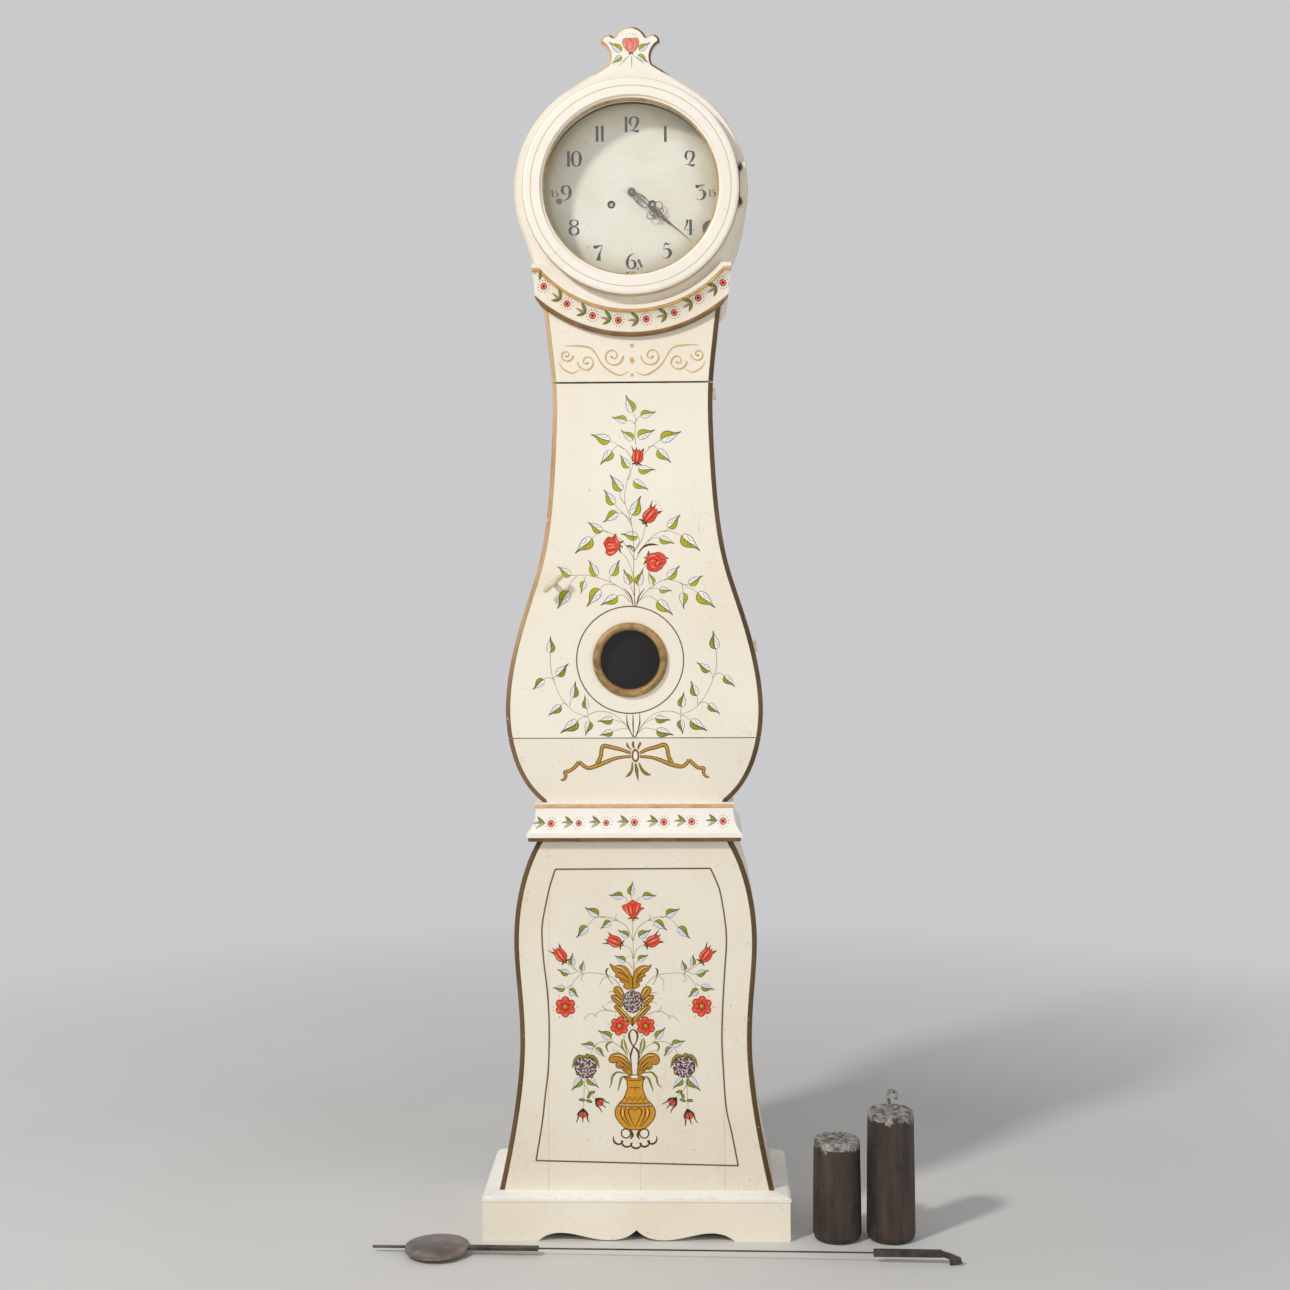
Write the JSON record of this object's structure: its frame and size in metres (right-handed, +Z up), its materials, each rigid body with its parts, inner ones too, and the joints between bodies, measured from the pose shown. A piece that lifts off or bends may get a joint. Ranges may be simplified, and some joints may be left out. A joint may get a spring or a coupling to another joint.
{
  "type": "longcase clock",
  "caption": "Tall painted longcase clock with a swelling case, a round hood with a crest and a glazed ring door, its pendulum and weights set down beside it.",
  "frame": {"origin": "on the floor, in the middle of the plinth's back edge, where the clock stands against a wall", "axes": "+Z up, +X to the right of a person who faces the dial, -Y the way the dial faces"},
  "size_m": [1.0032, 0.392, 2.1273],
  "materials": {
    "painted_base": "painted, satin, worn",
    "painted_case": "painted, satin, decorated",
    "bare_pine": "bare, aged",
    "gilt_wood": "painted gold-brown, crazed",
    "knob_wood": "whittled, painted, worn",
    "glass": "clear",
    "dial_paint": "painted, satin, foxed",
    "dark_brass": "tarnished",
    "brass": "satin",
    "bell_metal": "satin",
    "bob_brass": "worn",
    "iron": "forged, dark",
    "rod_iron": "forged, rusted",
    "cast_weight": "cast, dark"
  },
  "bodies": {
    "case": {"plinth_front": "painted_base", "plinth_side_left": "painted_base", "plinth_side_right": "painted_base", "plinth_back_rail": "bare_pine", "plinth_moulding_front": "painted_base", "plinth_moulding_left": "painted_base", "plinth_moulding_right": "painted_base", "base_bottom": "bare_pine", "base_front": "painted_base", "base_side_left": "painted_base", "base_side_right": "painted_base", "base_back": "bare_pine", "belt_front": "painted_case", "belt_left": "painted_case", "belt_right": "painted_case", "trunk_side_left": "painted_case", "trunk_side_right": "painted_case", "trunk_back": "bare_pine", "lower_panel": "painted_case", "frieze_panel": "painted_case", "collar_front": "painted_case", "collar_left": "painted_case", "collar_right": "painted_case", "seat_cheeks": "bare_pine", "seat_board": "bare_pine", "movement_front_plate": "brass", "movement_back_plate": "brass", "movement_pillars": "brass", "dial_plate": "dial_paint", "bell_left": "bell_metal", "bell_right": "bell_metal", "bell_stand": "iron", "case_hinge_leaves": "iron"},
    "trunk_door": {"trunk_door": "painted_case", "window_bezel": "gilt_wood", "window_glass": "glass", "door_hinge_leaves": "iron"},
    "latch": {"latch_knob": "knob_wood", "latch_tongue": "iron"},
    "hood": {"hood_front": "painted_case", "hood_barrel": "painted_case", "hood_hinge_block": "painted_case", "hood_pintles": "iron"},
    "hood_door": {"hood_door_ring": "painted_case", "hood_glass": "glass", "hood_hinge_eyes": "iron"},
    "going_barrel": {"going_barrel": "brass"},
    "strike_barrel": {"strike_barrel": "brass"},
    "minute_arbor": {"centre_wheel": "brass", "minute_hand": "dark_brass"},
    "hour_pipe": {"hour_wheel": "brass", "hour_hand": "dark_brass"},
    "third_wheel": {"third_wheel": "brass"},
    "escape_wheel": {"escape_wheel": "brass"},
    "anchor": {"anchor": "iron"},
    "strike_hammer": {"strike_hammer": "iron"},
    "pendulum": {"pendulum_bob": "bob_brass", "pendulum_rod": "rod_iron"},
    "weight_short": {"weight_short": "cast_weight"},
    "weight_tall": {"weight_tall": "cast_weight"}
  },
  "joints": [
    {"name": "trunk_door_hinge", "type": "hinge", "parent": "case", "child": "trunk_door", "pos_m": [0.2158, -0.223, 1.0352], "axis": [-0.1552, 0, 0.9879], "range_deg": [0, 100]},
    {"name": "latch_turn", "type": "hinge", "parent": "trunk_door", "child": "latch", "pos_m": [-0.14021, -0.241, 1.1477], "axis": [0, 1, 0], "range_deg": [-48, 41]},
    {"name": "hood_lift", "type": "slide", "parent": "case", "child": "hood", "axis": [0, 0, 1], "range_m": [0, 0.33]},
    {"name": "hood_door_hinge", "type": "hinge", "parent": "hood", "child": "hood_door", "pos_m": [0.19252, -0.2575, 1.845], "axis": [0, 0, 1], "range_deg": [0, 110]},
    {"name": "minute_turn", "type": "hinge", "parent": "case", "child": "minute_arbor", "pos_m": [0, -0.151, 1.842], "axis": [0, 1, 0], "continuous": true},
    {"name": "hour_turn", "type": "hinge", "parent": "case", "child": "hour_pipe", "pos_m": [0, -0.151, 1.842], "axis": [0, 1, 0], "continuous": true},
    {"name": "going_barrel_turn", "type": "hinge", "parent": "case", "child": "going_barrel", "pos_m": [-0.0364, -0.151, 1.821], "axis": [0, 1, 0], "continuous": true},
    {"name": "strike_barrel_turn", "type": "hinge", "parent": "case", "child": "strike_barrel", "pos_m": [0.0364, -0.151, 1.821], "axis": [0, 1, 0], "continuous": true},
    {"name": "third_wheel_turn", "type": "hinge", "parent": "case", "child": "third_wheel", "pos_m": [0, -0.151, 1.8763], "axis": [0, 1, 0], "continuous": true},
    {"name": "escape_wheel_turn", "type": "hinge", "parent": "case", "child": "escape_wheel", "pos_m": [0, -0.151, 1.9036], "axis": [0, 1, 0], "continuous": true},
    {"name": "anchor_rock", "type": "hinge", "parent": "case", "child": "anchor", "pos_m": [0, -0.151, 1.9271], "axis": [0, 1, 0], "range_deg": [-4, 4]},
    {"name": "hammer_lift", "type": "hinge", "parent": "case", "child": "strike_hammer", "pos_m": [0.045, -0.151, 1.9204], "axis": [0, 1, 0], "range_deg": [0, 10], "stiffness_Nm_per_rad": 0.03, "springref_deg": -34.38},
    {"name": "pendulum_lift", "type": "slide", "parent": "case", "child": "pendulum", "axis": [0, 0, 1], "range_m": [0, 0.3]},
    {"name": "weight_short_lift", "type": "slide", "parent": "case", "child": "weight_short", "axis": [0, 0, 1], "range_m": [0, 0.3]},
    {"name": "weight_tall_lift", "type": "slide", "parent": "case", "child": "weight_tall", "axis": [0, 0, 1], "range_m": [0, 0.3]}
  ],
  "couplings": [
    {"joint": "hour_turn", "follows": "minute_turn", "ratio": 0.083333},
    {"joint": "going_barrel_turn", "follows": "minute_turn", "ratio": -0.083333},
    {"joint": "third_wheel_turn", "follows": "minute_turn", "ratio": -7.5},
    {"joint": "escape_wheel_turn", "follows": "minute_turn", "ratio": 60}
  ]
}
